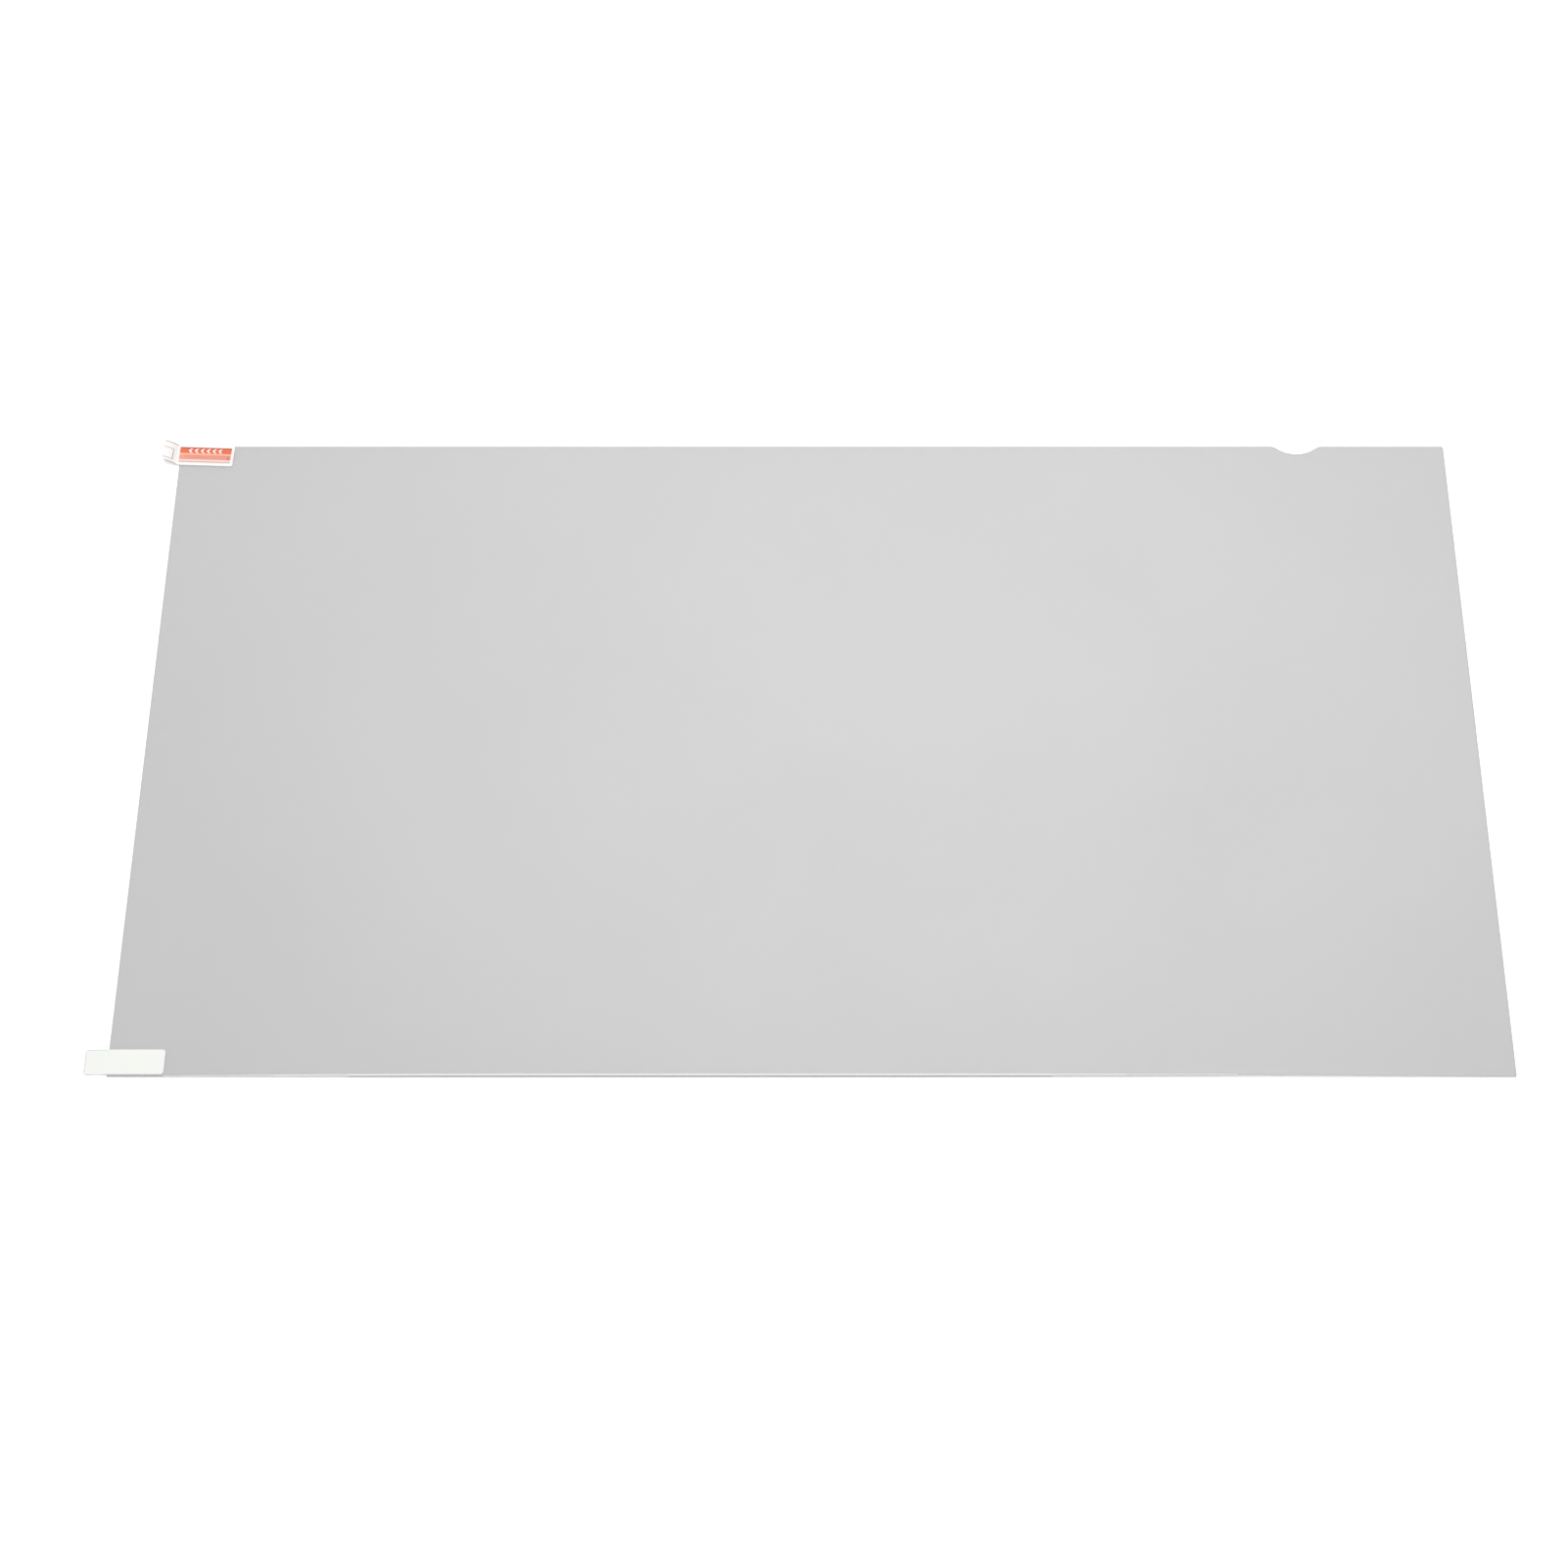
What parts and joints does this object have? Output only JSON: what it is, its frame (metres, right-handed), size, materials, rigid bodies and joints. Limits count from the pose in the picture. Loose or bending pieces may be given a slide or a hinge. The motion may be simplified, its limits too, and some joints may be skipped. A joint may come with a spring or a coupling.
{
  "type": "monitor screen protector",
  "caption": "Flat grey see-through filter sheet with rounded corners and a thumb notch, clear peel-off films on its faces and label pull tabs; covers a widescreen monitor.",
  "frame": {"origin": "middle of the back film's outer face, which is laid against the screen", "axes": "+X along the screen's width to the right, +Y up the screen to the edge with the thumb notch, +Z out of the sheet towards the viewer"},
  "size_m": [0.5397, 0.3, 0.0044],
  "materials": {
    "filter": "grey tinted see-through sheet with a fine matte surface",
    "film": "clear thin film, smooth",
    "red_label": "label stock printed in red with a white margin",
    "white_label": "blank white label stock"
  },
  "bodies": {
    "root": {"filter_sheet": "filter", "front_film": "film", "back_film": "film", "red_pull_tab": "red_label", "white_pull_tab": "white_label"}
  },
  "joints": []
}
